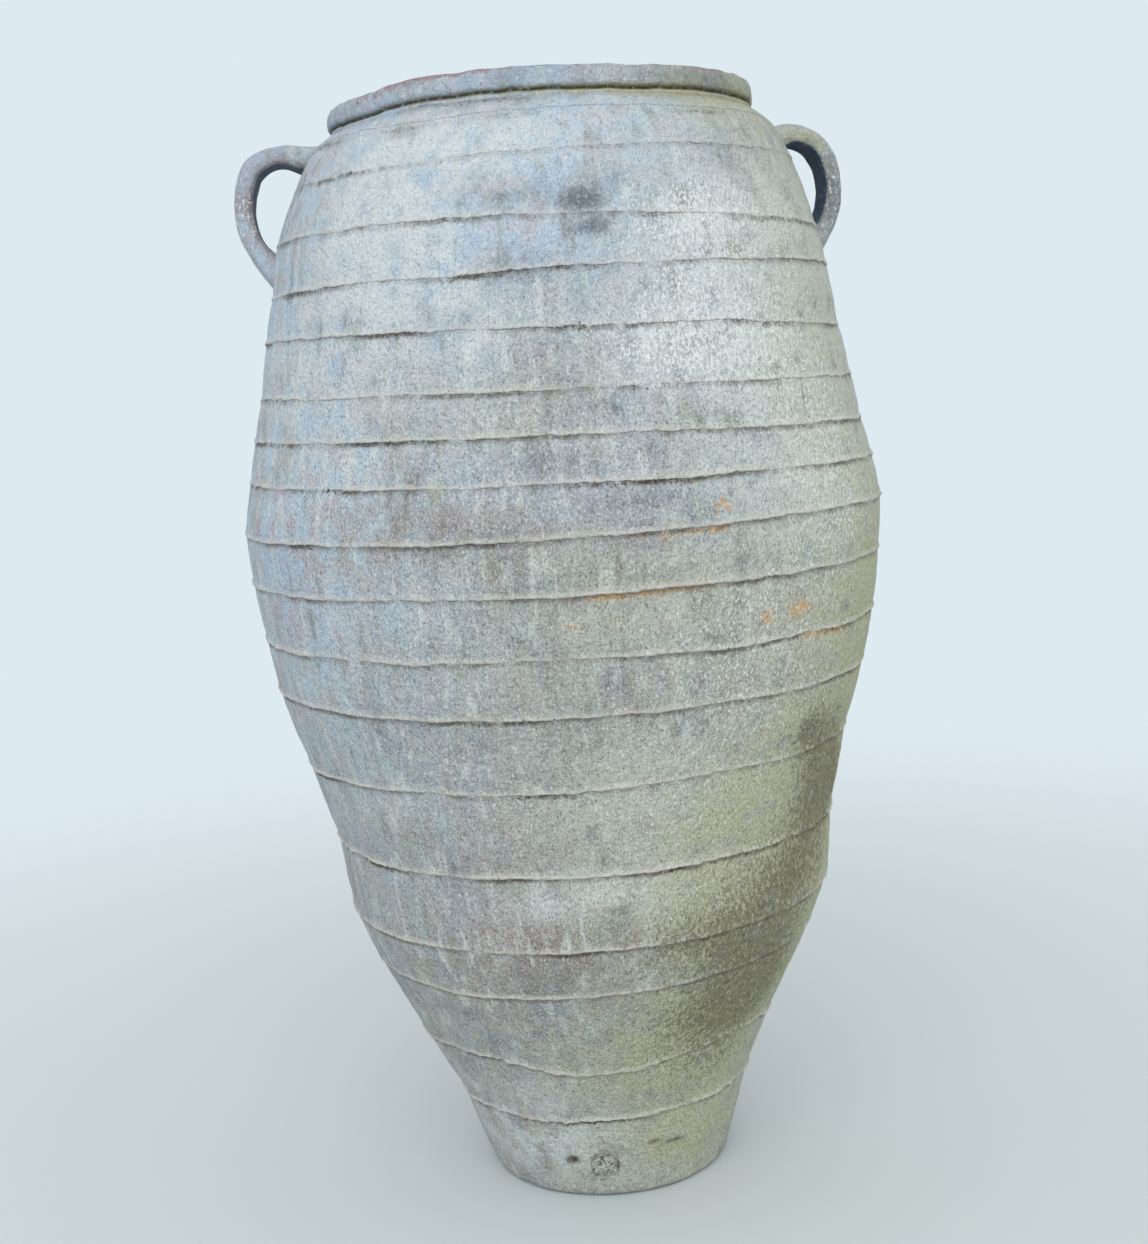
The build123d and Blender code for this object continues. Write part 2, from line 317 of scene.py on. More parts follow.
def weather(piece, outside=1.0):
    """Store on each point how much of every kind of weathering lies there; points inside the jar get none."""
    flat = np.empty(len(piece.data.vertices) * 3)
    piece.data.vertices.foreach_get("co", flat)
    x, y, z = flat.reshape(-1, 3).T
    angle, radius = np.arctan2(y, x), np.hypot(x, y)
    for number, (name, marks) in enumerate(weather_marks.items()):
        amount, size = weather_ground[name]
        shift = 11.3 * (number + 1)
        patches = np.array([ripple(a + shift, b, c, size) for a, b, c in zip(x, y, z)])
        value = amount * np.clip(patches + ground_spread, 0, None)
        for place, level, half_wide, half_high, strength in marks:
            across = turned(angle, place) * radius
            value += strength * np.exp(-(across / half_wide) ** 2 - ((z - level) / half_high) ** 2)
        set_number(piece, name, np.clip(value * outside, 0, most_weather))
    set_number(piece, "gritty", np.interp(z, grit_heights, grit_amounts))


def linear(code):
    """A colour written as sRGB hex, as the linear colour that a shader takes."""
    channels = [int(code[i:i + 2], 16) / 255 for i in (1, 3, 5)]
    return [c / 12.92 if c <= 0.04045 else ((c + 0.055) / 1.055) ** 2.4 for c in channels] + [1.0]


def add(tree, kind, inputs=None, **settings):
    """Add one node with its settings; each input is linked to a socket or given a value."""
    new = tree.nodes.new(kind)
    for key, value in settings.items():
        setattr(new, key, value)
    for key, value in (inputs or {}).items():
        if isinstance(value, bpy.types.NodeSocket):
            tree.links.new(value, new.inputs[key])
        else:
            new.inputs[key].default_value = value
    return new


def weathered(name, clay, warm, cold, gritty=1.0, streaky=1.0, dirt_and_shade="#53473a", growth="#dcb078",
              highlight_and_rubbing="#dedad0"):
    """A rough unglazed surface left outdoors: limed, lichen-grown, dirty and painted with shade and highlight
    where marked, so matt and speckled.
    """
    # Patterns: size in millimetres, fineness, roughness, and a squash below 1 that draws them out downwards.
    # The sand and crushed brick of the grain are drawn about twice as coarse as they are, so that they show.
    patterns = {
        "clouds": (64, 3, 0.6, 1.0),
        "patches": (27, 4, 0.6, 1.0),
        "mottle": (9, 3, 0.65, 1.0),
        "blue_damp": (31, 3, 0.6, 0.45),
        "green_damp": (40, 3, 0.6, 0.45),
        "lilac_damp": (23, 3, 0.6, 0.45),
        "dry_lime": (19, 3, 0.6, 0.45),
        "dark_damp": (47, 4, 0.55, 0.45),
        "red_damp": (37, 4, 0.55, 0.45),
        "runs": (12, 4, 0.65, 0.12),
        "grit": (4.0, 3, 0.8, 0.65),
        "grain": (1.9, 2, 0.8, 0.65),
        "tufts": (7.0, 3, 0.7, 1.0),
        "stipple": (3.6, 3, 0.8, 0.55),
        "pits": (4.6, 3, 0.85, 1.0),
        "flecks": (2.8, 3, 0.8, 0.6),
    }
    # Coats from the clay outwards: colour, pattern, where in the pattern the coat starts and is full, the
    # most that it covers, the weathering it needs, and how far that weathering pushes the pattern instead
    coats = [
        (warm, "clouds", 0.44, 0.62, 0.90, None, None),
        (cold, "blue_damp", 0.47, 0.62, 0.95, None, None),
        ("#a9af99", "green_damp", 0.50, 0.62, 0.80, None, None),
        ("#a49ca8", "lilac_damp", 0.51, 0.63, 0.85, None, None),
        ("#d6d8cf", "dry_lime", 0.53, 0.67, 0.85, None, None),
        ("#7f8589", "dark_damp", 0.51, 0.66, 0.62, None, None),
        ("#8f8382", "red_damp", 0.52, 0.66, 0.55, None, None),
        ("#bdd1e4", "clouds", 0.20, 0.58, 0.95, "cool", None),
        ("#c0b8ca", "patches", 0.48, 0.66, 0.80, "cool", None),
        ("#a08f8c", "patches", 0.30, 0.62, 1.00, "blush", None),
        ("#dfe4e1", "runs", 0.53, 0.68, 0.75 * streaky, None, None),
        ("#85847b", "runs", 0.47, 0.30, 0.70 * streaky, None, None),
        ("#dbe3e6", "patches", 0.28, 0.62, 1.00, "bloom", None),
        ("#c1c1a2", "patches", 0.15, 0.60, 0.90, "moss", None),
        ("#6d7682", "mottle", 0.78, 1.88, 0.90, "stain", 1.25),
        (growth, "tufts", 0.66, 0.94, 0.82, "rust", 0.45),
        ("#54524c", "grain", 0.49, 0.25, 0.75 * gritty, "gritty", None),
        ("#f6f8f4", "grain", 0.51, 0.76, 0.70 * gritty, "gritty", None),
        ("#5c5a52", "grit", 0.40, 0.24, 0.45 * gritty, "gritty", None),
        # A pale painted highlight along the bands' lips, and rubbed brown edges inside the handles
        (highlight_and_rubbing, "mottle", 0.26, 0.46, 0.95, "lip", None),
        ("#6a6346", "stipple", 0.60, 0.84, 0.72, "grime", 0.24),
        (dirt_and_shade, "pits", 0.33, 0.24, 0.80, "grime", -0.08),
        (dirt_and_shade, "pits", 0.31, 0.23, 0.80, "pitted", -0.20),
        ("#f2f5f3", "flecks", 0.67, 0.76, 0.90, "lichen", 0.165),
        # Painted shade with dirt under lips, in the rim's groove and on the handles' insides, an even
        # darkening inside the jar, and dirt in the foot's marks and round the plug
        (dirt_and_shade, "grit", 0.28, 0.50, 1.00, "crevice", None),
    ]
    material = bpy.data.materials.new(name)
    material.use_nodes = True
    tree = material.node_tree
    shader = tree.nodes["Principled BSDF"]
    place = add(tree, "ShaderNodeTexCoord").outputs["Object"]
    shown = {}
    for key, (millimetres, fineness, rough, squash) in patterns.items():
        where = add(tree, "ShaderNodeMapping", {"Vector": place, "Scale": (1, 1, squash)}).outputs["Vector"]
        inputs = {"Vector": where, "Scale": 1000 / millimetres, "Detail": fineness, "Roughness": rough}
        shown[key] = add(tree, "ShaderNodeTexNoise", inputs).outputs["Fac"]
    surface = linear(clay)
    for colour, key, start, full, most, kind, push in coats:
        value = shown[key]
        if kind:
            amount = add(tree, "ShaderNodeAttribute", attribute_name=kind).outputs["Fac"]
        if push:
            inputs = {0: amount, 1: push, 2: value}
            value = add(tree, "ShaderNodeMath", inputs, operation="MULTIPLY_ADD").outputs[0]
        inputs = {"Value": value, "From Min": start, "From Max": full, "To Max": most}
        cover = add(tree, "ShaderNodeMapRange", inputs, interpolation_type="SMOOTHSTEP").outputs["Result"]
        if kind and not push:
            cover = add(tree, "ShaderNodeMath", {0: cover, 1: amount}, operation="MULTIPLY").outputs[0]
        inputs = {0: cover, 6: surface, 7: linear(colour)}
        surface = add(tree, "ShaderNodeMix", inputs, data_type="RGBA").outputs[2]
    # Raised grain: the mottle weighs more than the grit, over a depth in metres
    mottle_weight = 1.3
    grain_depth = 0.0046
    inputs = {0: shown["mottle"], 1: mottle_weight, 2: shown["grit"]}
    rough_height = add(tree, "ShaderNodeMath", inputs, operation="MULTIPLY_ADD").outputs[0]
    bumped = add(tree, "ShaderNodeBump", {"Height": rough_height, "Strength": 1.0, "Distance": grain_depth})
    tree.links.new(surface, shader.inputs["Base Color"])
    tree.links.new(bumped.outputs["Normal"], shader.inputs["Normal"])
    # Unglazed fired clay is rough, and lime and dust dull it further
    shader.inputs["Roughness"].default_value = 0.93
    shader.inputs["Specular IOR Level"].default_value = 0.25
    return material


def dress(piece, material, node):
    """Give a finished piece its material and its place on the jar."""
    piece.data.materials.append(material)
    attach(piece, "root")
    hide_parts(node)


# Painted shade with dirt, and pits, just below a lip, by their drop and half width. From the first upper
# course on the painted shade and dirt lie in broken cracks only, and the smoothed joints of shoulder and neck
# hold half as much.
shade_and_dirt_drop = 0.0010
shade_and_dirt_half = 0.0022
least_shade_and_dirt = 0.35
pitted_shade_and_dirt = 0.6
crack_half = 0.0026
crack_shade_and_dirt = 0.9
smoothed_shade_and_dirt = 0.5
pits_drop = 0.0012
pits_half = 0.0042
# The inside of the jar and its floor are darkened evenly by this much
inside_darkening = 0.3
cracked_from = course_names.index("upper_course_1")
smooth_from = course_names.index("shoulder_course")

# Marks in the foot: a slanting crack, a deep pit and the broken edge of the old drain hole
foot_middle_radius = 0.135
slant_start, slant_end = radians(15), radians(33)
slant_level = 0.063
slant_fall = 0.022
slant_waver = [(0.001, 0.03, 1.0)]
slant_half = 0.0018
slant_dirt = 0.9
pit_place, pit_level = dings[0][:2]
pit_half_width = 0.005
pit_half_height = 0.0042
pit_dirt = 1.3
drain_place = -3.5
drain_level = 0.040
drain_edge = 0.0142
drain_edge_half = 0.0016
drain_edge_dirt = 0.35
drain_edge_breaks = [(1.6, 0.009, 1.0)]
most_drain_dirt = 0.9


def closeness(distance, reach):
    """1 at no distance, about a third at the reach and next to nothing at twice that."""
    return exp(-(distance / reach) ** 2)


def foot_dirt(angle, z):
    """Dirt in the foot's crack and pit and round the old drain hole."""
    rightward = turned(angle, 0)
    in_crack = 0.0
    if slant_start < rightward < slant_end:
        crack = slant_level - (rightward - slant_start) * slant_fall + uneven(angle, 0.0, 1.7, slant_waver)
        in_crack = slant_dirt * closeness(z - crack, slant_half)
    beside_pit = turned(angle, pit_place) * foot_middle_radius
    in_pit = pit_dirt * closeness(beside_pit, pit_half_width) * closeness(z - pit_level, pit_half_height)
    beside_drain = turned(angle, drain_place) * foot_middle_radius
    from_drain = sqrt(beside_drain ** 2 + (z - drain_level) ** 2)
    broken = max(drain_edge_dirt + uneven(beside_drain, 0.5, z, drain_edge_breaks), 0)
    round_drain = min(broken, most_drain_dirt) * closeness(from_drain - drain_edge, drain_edge_half)
    return max(in_crack, in_pit, round_drain)


# Coarse terracotta beaten with a paddle and bleached by lime: pale grey, gritty and speckled, with no shine
paddled_terracotta = weathered("paddled_terracotta", "#b2b2aa", "#b2a59c", "#9eabb2")
inner_shares = [1.0, 0.66, 0.33, 0.0]
for index, name in enumerate(course_names):
    rows = course_rows(joint_level[index + 1] - joint_level[index])
    shares = [row / rows[-1] for row in rows]
    row_count = len(shares) + len(inner_shares)

    def course_section(angle):
        loop = []
        for share, row in zip(shares, rows):
            radius, z, drift = wall_point(index, angle, share)
            if index == 0 and row < foot_edge_round:
                radius -= foot_edge_round - sqrt(foot_edge_round ** 2 - (foot_edge_round - row) ** 2)
            loop.append((radius * cos(angle) + drift, radius * sin(angle), z))
        for share in inner_shares:
            radius, z, drift = wall_point(index, angle, share)
            radius -= wall
            loop.append((radius * cos(angle) + drift, radius * sin(angle), z))
        return loop

    course = ring_mesh(name + "_clay", course_section, course_spokes)
    weather(course, np.tile([1.0] * len(shares) + [0.0] * len(inner_shares), course_spokes))
    # Crevice: painted shade with dirt in a strip under the next lip, dirt in the foot's marks, and an even
    # darkening inside
    crevice, pitted = [], []
    for s in range(course_spokes):
        angle = 2 * pi * s / course_spokes
        lip, strength, pitting = band_lip(index + 1, angle)
        dark = crack_shade_and_dirt * pitting if index >= cracked_from else least_shade_and_dirt + pitted_shade_and_dirt * pitting
        dark *= min(strength, 1.0) * (smoothed_shade_and_dirt if index >= smooth_from else 1.0)
        half = crack_half if index >= cracked_from else shade_and_dirt_half
        for k in range(row_count):
            z = course.data.vertices[s * row_count + k].co.z
            dirt_and_shade = dark * closeness(lip - shade_and_dirt_drop - z, half)
            if index == 0:
                dirt_and_shade = max(dirt_and_shade, foot_dirt(angle, z))
            crevice.append(dirt_and_shade if k < len(shares) else inside_darkening)
            pitted.append(pitting * closeness(lip - pits_drop - z, pits_half))
    set_number(course, "crevice", crevice)
    set_number(course, "pitted", pitted)
    set_number(course, "lip", [0.0] * len(crevice))
    dress(course, paddled_terracotta, name)

# Base disc
# The pad of clay that closes the foot, beaten out flat and let into the first course from above.
# It shows only from inside, as the jar's floor, and underneath.
low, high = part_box("base_disc")
disc_radius = half_width("base_disc")
disc_rings = 14
disc_spokes = 160
disc_lump = 0.0015
disc_sink = 0.001
points = [(0, 0, low[2]), (0, 0, high[2])]
faces = []
for side, level in enumerate((low[2], high[2])):
    first = len(points)
    for ring in range(1, disc_rings + 1):
        for s in range(disc_spokes):
            angle = 2 * pi * s / disc_spokes
            radius = disc_radius * ring / disc_rings
            x, y = radius * cos(angle), radius * sin(angle)
            points.append((x, y, level + (disc_lump * ripple(x, y, 0.3, 0.04) - disc_sink if side else 0)))
    for s in range(disc_spokes):
        after = (s + 1) % disc_spokes
        fan = (side, first + s, first + after)
        faces.append(fan if side else fan[::-1])
        for ring in range(disc_rings - 1):
            a, b = first + ring * disc_spokes, first + (ring + 1) * disc_spokes
            quad = (a + s, b + s, b + after, a + after)
            faces.append(quad if side else quad[::-1])
under, over = 2 + (disc_rings - 1) * disc_spokes, 2 + (2 * disc_rings - 1) * disc_spokes
for s in range(disc_spokes):
    after = (s + 1) % disc_spokes
    faces.append((under + s, under + after, over + after, over + s))
base_disc = finished_mesh("base_disc_clay", points, faces)
weather(base_disc, 0.0)
for name, amount in (("crevice", inside_darkening), ("pitted", 0.0), ("lip", 0.0)):
    set_number(base_disc, name, [amount] * len(points))
dress(base_disc, paddled_terracotta, "base_disc")

# Joint bands
# A thin roll of wet clay thumbed over each joint from above and left with a ragged lower lip.
# It is the same clay as the wall, with a pale painted highlight along the lip and painted shade with dirt
# under it.
band_spokes = 1200
band_proud_mm = [2.6, 3.0, 1.8, 2.0, 2.4, 2.0, 1.9, 2.0, 2.4, 2.4, 2.1, 1.9, 1.6, 1.7, 1.6, 1.2, 0.6]
band_lip_highlight = [1, 1, 1, 1, 1, 1, 0.9, 0.9, 0.8, 0.8, 0.8, 0.7, 0.6, 0.5, 0.5, 0.5, 0.2]

# Round a band's section from its top edge: height over the joint, how far it stands out as a share of its
# depth, and where it gets the painted highlight, painted shade with dirt, and pits
band_rise_mm = [8.0, 6.2, 5.0, 4.0, 3.0, 1.8, 0.6, -0.4, -1.3, -2.1, -2.8, -3.3, -3.9, 1.0]
band_out = [-0.25, 0.10, 0.20, 0.24, 0.34, 0.50, 0.72, 0.90, 1.0, 0.85, 0.50, 0.15, -0.25, -0.80]
band_highlight_rows = [0, 0, 0, 0, 0.1, 0.2, 0.5, 0.9, 1, 1, 0.5, 0, 0, 0]
band_shade_and_dirt = [0, 0, 0, 0, 0, 0, 0, 0, 0, 0.1, 0.8, 1, 1, 0]
band_pits = [0, 0, 0, 0, 0.1, 0.1, 0.2, 0.3, 0.5, 0.8, 1, 1, 1, 0]
lip_row = 11
least_lip_highlight = 0.25
least_lip_shade_and_dirt = 0.6
second_ridge_row = 2
second_ridges = [(1.0, 0.07, 2.3)]
second_ridge_rarity = 0.1


def wall_lean(index):
    """How far a course's wall runs outwards for each metre of height."""
    rise = joint_level[index + 1] - joint_level[index]
    return (joint_radius[index + 1] - joint_radius[index]) / rise


# The same terracotta thumbed on wet: a little warmer, with a pale painted highlight on the lip and painted
# shade with dirt under it
thumbed_terracotta = weathered("thumbed_terracotta", "#b6b3a8", "#b6aa9f", "#a5adae")
for index, proud in enumerate(band_proud_mm, start=1):
    lean_below = wall_lean(index - 1)
    lean_above = wall_lean(index)

    def band_section(angle):
        lip, strength, _ = band_lip(index, angle)
        joint = joint_height(index, angle)
        radius, _, drift = wall_point(index, angle, 0.0)
        x, y = radius * cos(angle), radius * sin(angle)
        second_ridge = max(uneven(x, y, index, second_ridges) - second_ridge_rarity, 0)
        loop = []
        for row, (up, out) in enumerate(zip(band_rise_mm, band_out)):
            rise = up / 1000 if up > 0 else up / band_rise_mm[lip_row] * (lip - joint)
            lean = lean_above if rise > 0 else lean_below
            out = out * strength if out > 0 else out
            if row == second_ridge_row:
                out += second_ridge
            r = radius + lean * rise + out * proud / 1000
            loop.append((r * cos(angle) + drift, r * sin(angle), joint + rise))
        return loop

    band = ring_mesh(f"joint_band_{index}_clay", band_section, band_spokes)
    weather(band)
    lips = [band_lip(index, 2 * pi * s / band_spokes) for s in range(band_spokes)]
    # The lip's painted highlight is strongest where the lip stands out most
    worn = [min(least_lip_highlight + (1 - least_lip_highlight) * strength, 1) for _, strength, _ in lips]
    lip_highlight = band_lip_highlight[index - 1] * np.array(worn)
    pitting = np.array([pitting for _, _, pitting in lips])
    # Painted shade with dirt under the lip, darker where the lip is pitted
    lip_shade_and_dirt = least_lip_shade_and_dirt + (1 - least_lip_shade_and_dirt) * pitting
    set_number(band, "lip", np.outer(lip_highlight, band_highlight_rows).ravel())
    set_number(band, "crevice", np.outer(lip_shade_and_dirt, band_shade_and_dirt).ravel())
    set_number(band, "pitted", np.outer(pitting, band_pits).ravel())
    dress(band, thumbed_terracotta, f"joint_band_{index}")

# Rim
# A thick roll of clay turned over the mouth and smoothed by a wet hand, with a groove pressed in under it.
# Its top edge is rubbed back to the red clay in places.
rim_spokes = 720
rim_outline_mm = [
    (2, -4), (4.4, -2.6), (4.4, -0.6), (3.0, 1.0), (0.6, 2.2), (0.9, 3.6), (3.9, 4.9),
    (5.4, 7), (5.8, 10), (5.8, 14), (5.2, 18), (3.4, 21.2), (0.4, 23.2), (-5, 24),
    (-10, 24), (-16, 23.2), (-20.5, 21), (-23.3, 17), (-24, 10), (-24, -4),
]
rim_mouth_from = 17
rim_wear = [(0.0012, 0.07, 1.0), (0.0004, 0.02, 1.0)]
rim_wear_down = 0.8
rim_pitted = 0.3
chip_depth = 0.004
chip_size = 0.017
chip_rarity = 0.52
# Painted shade with dirt in the groove under the bead and inside the mouth, for each point of the outline
rim_shade_and_dirt = [0.3, 0, 0, 0.4, 1.0, 1.0, 0.4, 0, 0, 0, 0, 0, 0, 0, 0, 0, 0, 0.1, 0.2, 0.3]
# Terracotta smoothed by a wet hand: darker and finer than the wall, and red where it is worn
smoothed_terracotta = weathered(
    "smoothed_terracotta", "#808287", "#867b83", "#77838d",
    gritty=0.5, streaky=0.4, dirt_and_shade="#5d573e", growth="#a08084",
)


def rim_section(angle):
    radius, seat, drift = wall_point(len(course_names) - 1, angle, 1.0)
    loop = []
    for out, up in rim_outline_mm:
        r, height = radius + out / 1000, seat + up / 1000
        x, y = r * cos(angle), r * sin(angle)
        worn = uneven(x, y, height, rim_wear)
        chip = chip_depth * max(ripple(x, y, height, chip_size) - chip_rarity, 0)
        if up > 0:
            r += worn - chip
            height += rim_wear_down * worn - chip
        loop.append((r * cos(angle) + drift, r * sin(angle), height))
    return loop


rim = ring_mesh("rim_clay", rim_section, rim_spokes)
weather(rim, np.tile([1.0 if k < rim_mouth_from else 0.0 for k in range(len(rim_outline_mm))], rim_spokes))
set_number(rim, "crevice", np.tile(rim_shade_and_dirt, rim_spokes))
set_number(rim, "pitted", np.tile([rim_pitted], rim_spokes * len(rim_outline_mm)))
set_number(rim, "lip", np.tile([0.0], rim_spokes * len(rim_outline_mm)))
dress(rim, smoothed_terracotta, "rim")

# Handles
# Two straps of clay pulled by hand, thumbed onto the shoulder above and pressed flat against the wall below.
# They are round outside and flat within, where painted shade and soot make them blue-black.
strap_routes_mm = {
    "handle_left": [
        (210, 1055), (232, 1056), (253, 1059.5), (269, 1057.5), (281, 1052), (289.5, 1044), (295, 1031),
        (298, 1015), (298, 1000), (294.5, 982), (287, 966), (276, 948), (260, 926),
    ],
    "handle_right": [
        (212, 1052), (234, 1054), (252, 1057), (268, 1053), (280, 1045), (288, 1032), (292.5, 1016),
        (293.5, 1000), (291, 983), (285, 967), (275, 949), (260, 927),
    ],
}
strap_width = 0.051
strap_thickness = 0.020
strap_lumps = [(0.0010, 0.03, 1.0), (0.0005, 0.010, 1.0)]
round_outside = 0.85
flat_inside = 0.32
strap_pitted = 0.2
strap_steps = 110
strap_spokes = 48
shoulder_drift = joint_drift_mm[-3] / 1000

# The roots are pressed out wider and thicker, with a web of clay under them. Reaches are shares of the strap.
upper_flare, upper_flare_reach = 0.45, 0.14
lower_flare, lower_flare_reach = 0.36, 0.15
root_thickening, thickening_reach = 0.12, 0.15
upper_web, upper_web_end = 0.3, 0.09
lower_web, lower_web_start = 1.0, 0.94
web_reach = 0.07

# Each handle's side of the jar, where its inner face starts to darken with painted shade and soot, the most
# of that darkening, and how far its inner edges are rubbed
handles = [("handle_left", -1, 0.90, 0.8, 0.6), ("handle_right", 1, 0.80, 1.3, 0.2)]
shade_and_soot_edge = 0.08
fainter_root, fainter_root_reach = 0.6, 0.12
rubbed_depth, rubbed_half = 0.75, 0.25

# Terracotta pulled into a strap with wet hands: smooth, lilac grey, and blue-black with painted shade and
# soot on the inside
pulled_terracotta = weathered(
    "pulled_terracotta", "#bcc0d0", "#c0b4c6", "#adbbcf",
    gritty=0.6, streaky=0.2, dirt_and_shade="#51677f", highlight_and_rubbing="#85705f",
)


def smooth_route(points, steps):
    """Points along a smooth line through given points, each with the line's direction there."""
    line = []
    for k in range(steps + 1):
        place = k / steps * (len(points) - 1)
        i = min(int(place), len(points) - 2)
        t = place - i
        near = [min(max(j, 0), len(points) - 1) for j in range(i - 1, i + 3)]
        before, start, end, after = (Vector(points[j]) for j in near)
        leave, arrive = (end - before) / 2, (after - start) / 2
        here = (2 * t ** 3 - 3 * t ** 2 + 1) * start + (t ** 3 - 2 * t ** 2 + t) * leave
        here += (3 * t ** 2 - 2 * t ** 3) * end + (t ** 3 - t ** 2) * arrive
        heading = (6 * t ** 2 - 6 * t) * (start - end) + (3 * t ** 2 - 4 * t + 1) * leave
        heading += (3 * t ** 2 - 2 * t) * arrive
        line.append((here, heading.normalized()))
    return line


for node, side, shade_and_soot_from, most_shade_and_soot, edge_rubbing in handles:
    points, shade_and_soot, rubbed_edge = [], [], []
    route = smooth_route([(r / 1000, z / 1000) for r, z in strap_routes_mm[node]], strap_steps)
    for k, (centre, heading) in enumerate(route):
        along = k / strap_steps
        flare = 1 + upper_flare * closeness(along, upper_flare_reach)
        flare += lower_flare * closeness(1 - along, lower_flare_reach)
        thick = 1 + root_thickening * closeness(along, thickening_reach)
        web = upper_web * closeness(max(along - upper_web_end, 0), web_reach)
        web += lower_web * closeness(max(lower_web_start - along, 0), web_reach)
        outwards = Vector((-heading.y, heading.x))
        for s in range(strap_spokes):
            turn = 2 * pi * s / strap_spokes
            boxy = round_outside if sin(turn) > 0 else flat_inside
            wide = abs(cos(turn)) ** boxy * (1 if cos(turn) > 0 else -1)
            deep = abs(sin(turn)) ** boxy * (1 if sin(turn) > 0 else -1)
            across = wide * strap_width / 2 * flare
            here = centre + outwards * deep * strap_thickness / 2 * (thick if deep > 0 else thick + web)
            lump = uneven(across, here.x * side, here.y, strap_lumps)
            here += outwards * lump * (1 if deep > 0 else -1)
            across += lump * (1 if wide > 0 else -1)
            points.append((side * here.x + shoulder_drift, side * across, here.y))
            # Painted shade with soot on the inner face, fainter towards the lower root
            shaded_and_sooty = min(max((-deep - shade_and_soot_from) / shade_and_soot_edge, 0), most_shade_and_soot)
            shade_and_soot.append(shaded_and_sooty * (1 - fainter_root * closeness(1 - along, fainter_root_reach)))
            rubbed_edge.append(edge_rubbing * closeness(-deep - rubbed_depth, rubbed_half))
    faces = []
    for k in range(strap_steps):
        for s in range(strap_spokes):
            after = (s + 1) % strap_spokes
            a, b = k * strap_spokes, (k + 1) * strap_spokes
            faces.append((a + s, a + after, b + after, b + s))
    faces.append(tuple(reversed(range(strap_spokes))))
    faces.append(tuple(range(strap_steps * strap_spokes, (strap_steps + 1) * strap_spokes)))
    handle = finished_mesh(node + "_clay", points, faces)
    weather(handle)
    set_number(handle, "crevice", shade_and_soot)
    set_number(handle, "pitted", [strap_pitted] * len(points))
    set_number(handle, "lip", rubbed_edge)
    dress(handle, pulled_terracotta, node)

# Drain plug
# A dab of lime mortar pushed into the old drain hole beside the floor and left rough on the outside.
# It stands a little proud of the wall and has set hard.
plug_azimuth = facing + radians(drain_place)
plug_low, plug_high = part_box("drain_plug")
plug_level = (plug_low[2] + plug_high[2]) / 2
plug_radius = 0.0135
plug_edge_waver = [(0.16, 0.55, 1.0)]
plug_proud = 0.0030
plug_edge_fall = 0.8
plug_head_depth = 0.003
plug_shank_share = 0.92
plug_lumps = [(0.0022, 0.007, 0.2), (0.0012, 0.0032, 0.7)]
plug_pitted = 0.9
plug_edge_dirt = 0.7
plug_dirt_size = 0.012
plug_dirt_spread = 0.5
plug_rings = 10
plug_spokes = 64
# Lime mortar left as it was pushed in: pale grey, lumpy, pitted and quite dull
lime_mortar = weathered("lime_mortar", "#b4b6b2", "#aeaca6", "#a8aeb0", gritty=0.8)
share = (plug_level - joint_level[0]) / (joint_level[1] - joint_level[0])
seat_radius, _, seat_drift = wall_point(0, plug_azimuth, share)
outward = Vector((cos(plug_azimuth), sin(plug_azimuth), 0))
sideways = Vector((-sin(plug_azimuth), cos(plug_azimuth), 0))
seat = outward * seat_radius + Vector((seat_drift, 0, plug_level))
points = [seat + outward * plug_proud, seat - outward * wall]
plug_dirt = [0.0, 0.0]
for ring in range(1, plug_rings + 3):
    for s in range(plug_spokes):
        turn = 2 * pi * s / plug_spokes
        edge = plug_radius * (1 + uneven(cos(turn), sin(turn), 4.0, plug_edge_waver))
        reach = edge * min(ring / plug_rings, 1.0) * (plug_shank_share if ring > plug_rings else 1.0)
        across, up = reach * cos(turn), reach * sin(turn)
        round_wall = wall_lean(0) * up - across ** 2 / (2 * seat_radius)
        height = plug_proud * (1 - plug_edge_fall * min(ring / plug_rings, 1.0) ** 4)
        height += uneven(across, up, 1.0, plug_lumps)
        if ring > plug_rings:
            height = -plug_head_depth if ring == plug_rings + 1 else -wall
        points.append(seat + sideways * across + Vector((0, 0, up)) + outward * (height + round_wall))
        dirty = plug_edge_dirt * max(ripple(across, up, 1.3, plug_dirt_size) + plug_dirt_spread, 0)
        plug_dirt.append(dirty if ring >= plug_rings - 1 else 0.0)
faces = []
for s in range(plug_spokes):
    after = (s + 1) % plug_spokes
    faces.append((0, 2 + s, 2 + after))
    for ring in range(plug_rings + 1):
        a, b = 2 + ring * plug_spokes, 2 + (ring + 1) * plug_spokes
        faces.append((a + s, b + s, b + after, a + after))
    last = 2 + (plug_rings + 1) * plug_spokes
    faces.append((1, last + after, last + s))
drain_plug = finished_mesh("drain_plug_mortar", points, faces)
weather(drain_plug)
set_number(drain_plug, "crevice", plug_dirt)
set_number(drain_plug, "pitted", [plug_pitted] * len(points))
set_number(drain_plug, "lip", [0.0] * len(points))
dress(drain_plug, lime_mortar, "drain_plug")

# Floor
# A wide plain pale ground for the jar to stand on. It keeps the jar's shadow and fades into the background.
floor_half = 30.0
fade_start, fade_end = 0.5, 2.4


def looked_at(tree):
    """1 where the background is looked at, also in a reflection, and 0 where it would light the jar."""
    rays = add(tree, "ShaderNodeLightPath").outputs
    seen = rays["Is Camera Ray"]
    for kind in ("Is Glossy Ray", "Is Transmission Ray"):
        inputs = {0: seen, 1: rays[kind]}
        seen = add(tree, "ShaderNodeMath", inputs, operation="ADD", use_clamp=True).outputs[0]
    return seen


floor_corners = [(-floor_half, -floor_half, 0), (floor_half, -floor_half, 0), (floor_half, floor_half, 0),
                 (-floor_half, floor_half, 0)]
ground = finished_mesh("floor", floor_corners, [(0, 1, 2, 3)])
background = linear("#e6f3fa")
background_strength = 0.92
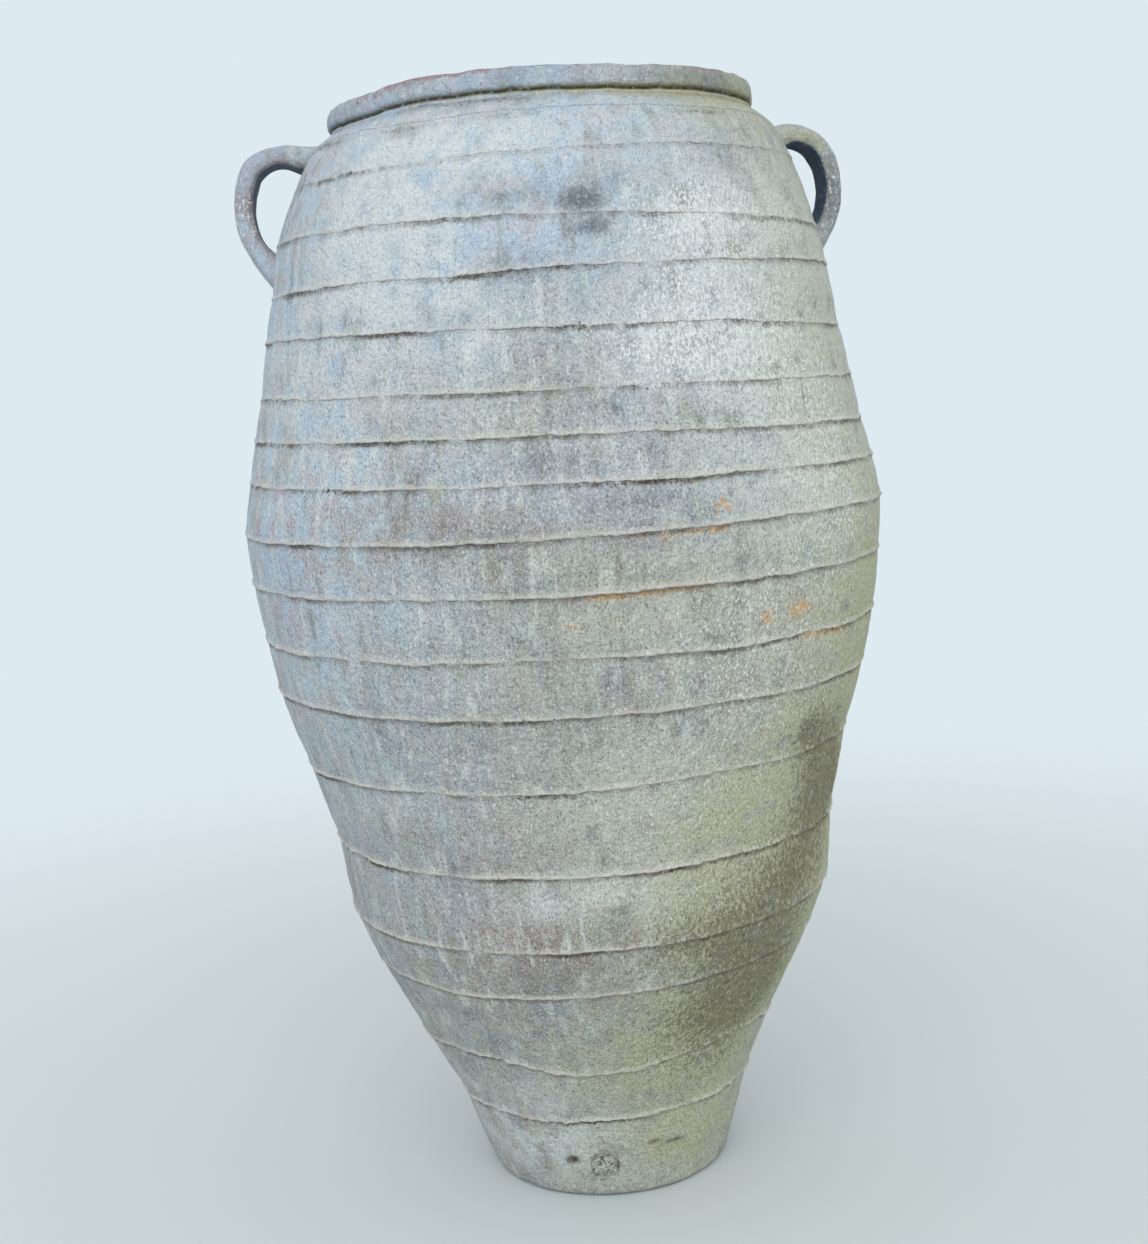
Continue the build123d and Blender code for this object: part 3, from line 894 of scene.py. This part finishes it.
# Pale matt paint: no shine and no pattern, so that only the jar's shadow shows on it
pale_matt_paint = bpy.data.materials.new("pale_matt_paint")
pale_matt_paint.use_nodes = True
tree = pale_matt_paint.node_tree
pale_shader = tree.nodes["Principled BSDF"]
pale_shader.inputs["Base Color"].default_value = linear("#cfd6d8")
pale_shader.inputs["Roughness"].default_value = 0.95
haze = add(tree, "ShaderNodeEmission", {"Color": background, "Strength": background_strength}).outputs[0]
spot = add(tree, "ShaderNodeTexCoord").outputs["Object"]
away = add(tree, "ShaderNodeVectorMath", {0: spot}, operation="LENGTH").outputs["Value"]
inputs = {"Value": away, "From Min": fade_start, "From Max": fade_end}
far = add(tree, "ShaderNodeMapRange", inputs, interpolation_type="SMOOTHSTEP").outputs["Result"]
fade = add(tree, "ShaderNodeMath", {0: far, 1: looked_at(tree)}, operation="MULTIPLY").outputs[0]
faded = add(tree, "ShaderNodeMixShader", {0: fade, 1: pale_shader.outputs[0], 2: haze})
tree.links.new(faded.outputs[0], tree.nodes["Material Output"].inputs["Surface"])
ground.data.materials.append(pale_matt_paint)

# Light
# Soft daylight from all round, with a broad lamp high in front on the left.
world = bpy.data.worlds.new("soft_daylight")
bpy.context.scene.world = world
world.use_nodes = True
sky = world.node_tree.nodes["Background"]
inputs = {0: looked_at(world.node_tree), 6: linear("#fafeff"), 7: background}
glow = add(world.node_tree, "ShaderNodeMix", inputs, data_type="RGBA")
world.node_tree.links.new(glow.outputs[2], sky.inputs["Color"])
sky.inputs["Strength"].default_value = background_strength
lamp = bpy.data.lights.new("broad_lamp", "AREA")
lamp.shape = "DISK"
lamp.size = 3.0
lamp.energy = 38
lamp_object = bpy.data.objects.new("broad_lamp", lamp)
bpy.context.collection.objects.link(lamp_object)
lamp_object.location = (-0.5, -2.8, 2.6)
lamp_aim = Vector((0, 0, 0.6))
lamp_object.rotation_euler = (lamp_aim - lamp_object.location).to_track_quat("-Z", "Y").to_euler()

# Camera
# The viewer is a little left of the jar's front and holds the camera low, tipped down and rolled.
photo_width, photo_height = 1148, 1244
focal_pixels = 1700
view_distance = 1.758
view_height = 0.815
pitch_down = radians(7.8)
roll = radians(3.48)
camera = bpy.data.cameras.new("camera")
camera.sensor_width = 36.0
camera.lens = focal_pixels * camera.sensor_width / max(photo_width, photo_height)
camera_object = bpy.data.objects.new("camera", camera)
bpy.context.collection.objects.link(camera_object)
towards = Vector((-cos(facing), -sin(facing), 0))
level_right = Vector((towards.y, -towards.x, 0))
ahead = towards * cos(pitch_down) - Vector((0, 0, sin(pitch_down)))
level_up = level_right.cross(ahead)
right = level_right * cos(roll) - level_up * sin(roll)
up = level_up * cos(roll) + level_right * sin(roll)
camera_object.matrix_world = Matrix((
    (right.x, up.x, -ahead.x, -towards.x * view_distance),
    (right.y, up.y, -ahead.y, -towards.y * view_distance),
    (right.z, up.z, -ahead.z, view_height),
    (0, 0, 0, 1),
))
bpy.context.scene.camera = camera_object
bpy.context.scene.view_settings.view_transform = "Standard"

bpy.context.view_layer.update()
